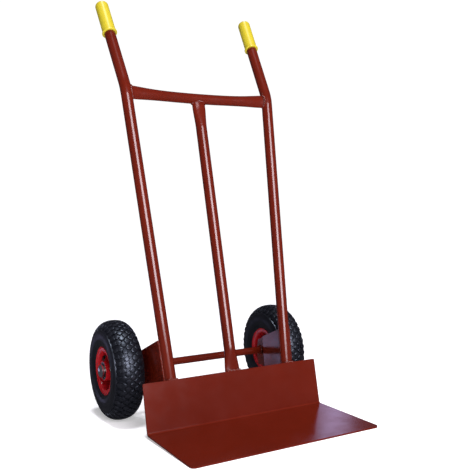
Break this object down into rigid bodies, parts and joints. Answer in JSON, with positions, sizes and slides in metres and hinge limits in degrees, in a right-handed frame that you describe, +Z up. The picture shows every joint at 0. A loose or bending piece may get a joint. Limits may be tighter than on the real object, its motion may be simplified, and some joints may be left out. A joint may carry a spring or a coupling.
{
  "type": "hand truck",
  "caption": "Welded tube hand truck with a bent sheet toe plate, two free-turning pneumatic wheels on a fixed axle, and sleeve grips on bent-back handles.",
  "frame": {"origin": "on the floor, under the middle of the whole truck's box, as it stands on its wheels and the toe plate's front edge", "axes": "+Z up; -Y the way the toe plate points; +X towards the right-hand wheel, along the axle"},
  "size_m": [0.5866, 0.5922, 1.1248],
  "materials": {
    "frame_paint": "gloss enamel, oxide red-brown",
    "grip_plastic": "smooth yellow plastic",
    "tyre_rubber": "black tyre rubber with a slight sheen",
    "tube_rubber": "soft black butyl",
    "rim_paint": "gloss bright red",
    "zinc_steel": "zinc plated",
    "bearing_steel": "ground bearing steel",
    "cap_chrome": "bright plated",
    "valve_rubber": "black rubber",
    "valve_plastic": "black plastic"
  },
  "bodies": {
    "frame": {"toe_plate": "frame_paint", "left_side_tube": "frame_paint", "right_side_tube": "frame_paint", "centre_tube": "frame_paint", "top_crossbar": "frame_paint", "left_axle_bracket": "frame_paint", "right_axle_bracket": "frame_paint", "axle": "frame_paint", "left_grip": "grip_plastic", "right_grip": "grip_plastic", "crossbar_welds": "frame_paint", "centre_tube_welds": "frame_paint", "side_tube_welds": "frame_paint", "bracket_welds": "frame_paint", "axle_welds": "frame_paint", "left_inner_washers": "zinc_steel", "left_outer_washer": "zinc_steel", "left_axle_cap": "cap_chrome", "left_bearing_inner_races": "bearing_steel", "right_inner_washers": "zinc_steel", "right_outer_washer": "zinc_steel", "right_axle_cap": "cap_chrome", "right_bearing_inner_races": "bearing_steel"},
    "left_wheel": {"left_tyre": "tyre_rubber", "left_inner_tube": "tube_rubber", "left_outer_rim_half": "rim_paint", "left_inner_rim_half": "rim_paint", "left_rim_bolts": "zinc_steel", "left_rim_nuts": "zinc_steel", "left_bearing_outer_races": "bearing_steel", "left_bearing_balls": "bearing_steel", "left_valve_stem": "valve_rubber", "left_valve_cap": "valve_plastic"},
    "right_wheel": {"right_tyre": "tyre_rubber", "right_inner_tube": "tube_rubber", "right_outer_rim_half": "rim_paint", "right_inner_rim_half": "rim_paint", "right_rim_bolts": "zinc_steel", "right_rim_nuts": "zinc_steel", "right_bearing_outer_races": "bearing_steel", "right_bearing_balls": "bearing_steel", "right_valve_stem": "valve_rubber", "right_valve_cap": "valve_plastic"}
  },
  "joints": [
    {"name": "left_wheel_spin", "type": "hinge", "parent": "frame", "child": "left_wheel", "pos_m": [-0.2455, 0.16614, 0.13], "axis": [1, 0, 0], "continuous": true},
    {"name": "right_wheel_spin", "type": "hinge", "parent": "frame", "child": "right_wheel", "pos_m": [0.2455, 0.16614, 0.13], "axis": [1, 0, 0], "continuous": true}
  ]
}
